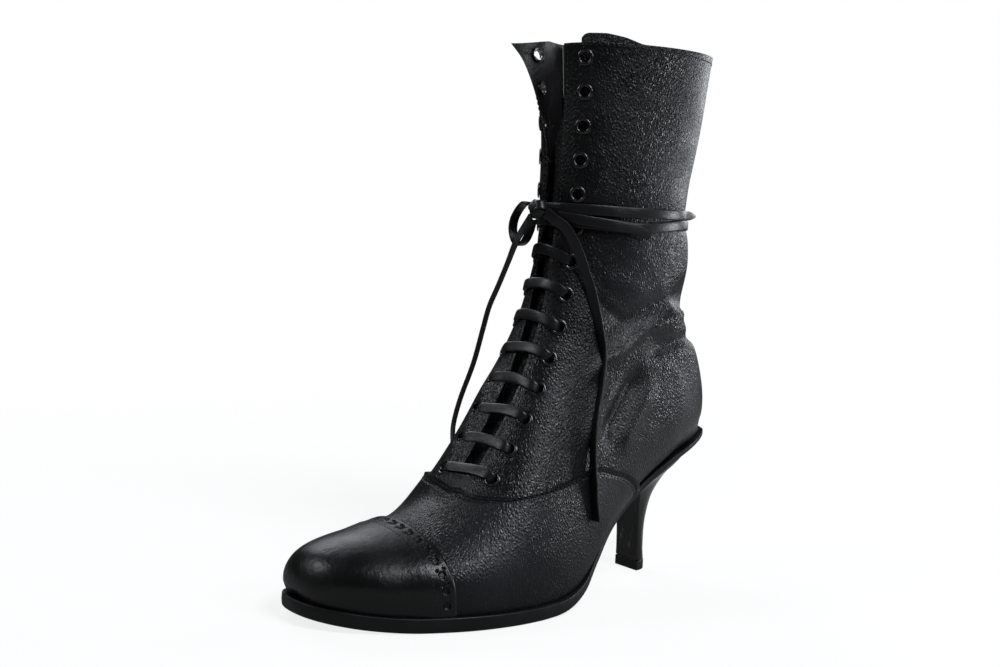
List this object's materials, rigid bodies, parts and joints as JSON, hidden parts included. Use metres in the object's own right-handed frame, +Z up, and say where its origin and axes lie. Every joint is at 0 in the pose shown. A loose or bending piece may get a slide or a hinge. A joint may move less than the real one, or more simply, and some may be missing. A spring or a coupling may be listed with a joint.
{
  "type": "lace-up ankle boot",
  "caption": "Black leather lace-up ankle boot for the left foot, with a smooth toe cap, a slim curved heel, lace turned round the ankle and a zip on the inner side.",
  "frame": {"origin": "on the floor under the middle of the boot's box, free lace left out", "axes": "+X to the toe, +Y to the outer side of the left foot, +Z up"},
  "size_m": [0.2295, 0.0871, 0.2581],
  "materials": {
    "grain_leather": "satin, pebbled grain",
    "smooth_leather": "polished, smooth",
    "lining_leather": "satin, smooth",
    "sole_black": "satin",
    "heel_black": "gloss",
    "lace_leather": "satin",
    "eyelet_black": "gloss enamel",
    "zip_brass": "satin",
    "zip_steel": "satin"
  },
  "bodies": {
    "boot": {"outsole": "sole_black", "heel": "heel_black", "heel_tip": "sole_black", "insole": "lining_leather", "upper": "grain_leather", "toe_cap": "smooth_leather", "vamp": "grain_leather", "tongue": "lining_leather", "eyelet_lateral_01": "eyelet_black", "eyelet_lateral_02": "eyelet_black", "eyelet_lateral_03": "eyelet_black", "eyelet_lateral_04": "eyelet_black", "eyelet_lateral_05": "eyelet_black", "eyelet_lateral_06": "eyelet_black", "eyelet_lateral_07": "eyelet_black", "eyelet_lateral_08": "eyelet_black", "eyelet_lateral_09": "eyelet_black", "eyelet_lateral_10": "eyelet_black", "eyelet_lateral_11": "eyelet_black", "eyelet_lateral_12": "eyelet_black", "eyelet_lateral_13": "eyelet_black", "eyelet_lateral_14": "eyelet_black", "eyelet_medial_01": "eyelet_black", "eyelet_medial_02": "eyelet_black", "eyelet_medial_03": "eyelet_black", "eyelet_medial_04": "eyelet_black", "eyelet_medial_05": "eyelet_black", "eyelet_medial_06": "eyelet_black", "eyelet_medial_07": "eyelet_black", "eyelet_medial_08": "eyelet_black", "eyelet_medial_09": "eyelet_black", "eyelet_medial_10": "eyelet_black", "eyelet_medial_11": "eyelet_black", "eyelet_medial_12": "eyelet_black", "eyelet_medial_13": "eyelet_black", "eyelet_medial_14": "eyelet_black", "lace_bar_01": "lace_leather", "lace_bar_02": "lace_leather", "lace_bar_03": "lace_leather", "lace_bar_04": "lace_leather", "lace_bar_05": "lace_leather", "lace_bar_06": "lace_leather", "lace_bar_07": "lace_leather", "lace_bar_08": "lace_leather", "lace_turn_upper": "lace_leather", "lace_turn_lower": "lace_leather", "lace_knot": "lace_leather", "lace_loop": "lace_leather", "lace_end_lateral": "lace_leather", "lace_end_medial": "lace_leather", "lace_tip_lateral": "lace_leather", "lace_tip_medial": "lace_leather", "zip": "zip_brass", "zip_slider": "zip_steel"},
    "zip_pull": {"zip_pull_ring": "zip_steel", "zip_pull_tab": "lace_leather"}
  },
  "joints": [
    {"name": "zip_pull_hinge", "type": "hinge", "parent": "boot", "child": "zip_pull", "pos_m": [-0.0424, -0.03561, 0.22753], "axis": [-0.9861, -0.1589, 0.0483], "range_deg": [0, 150]}
  ]
}
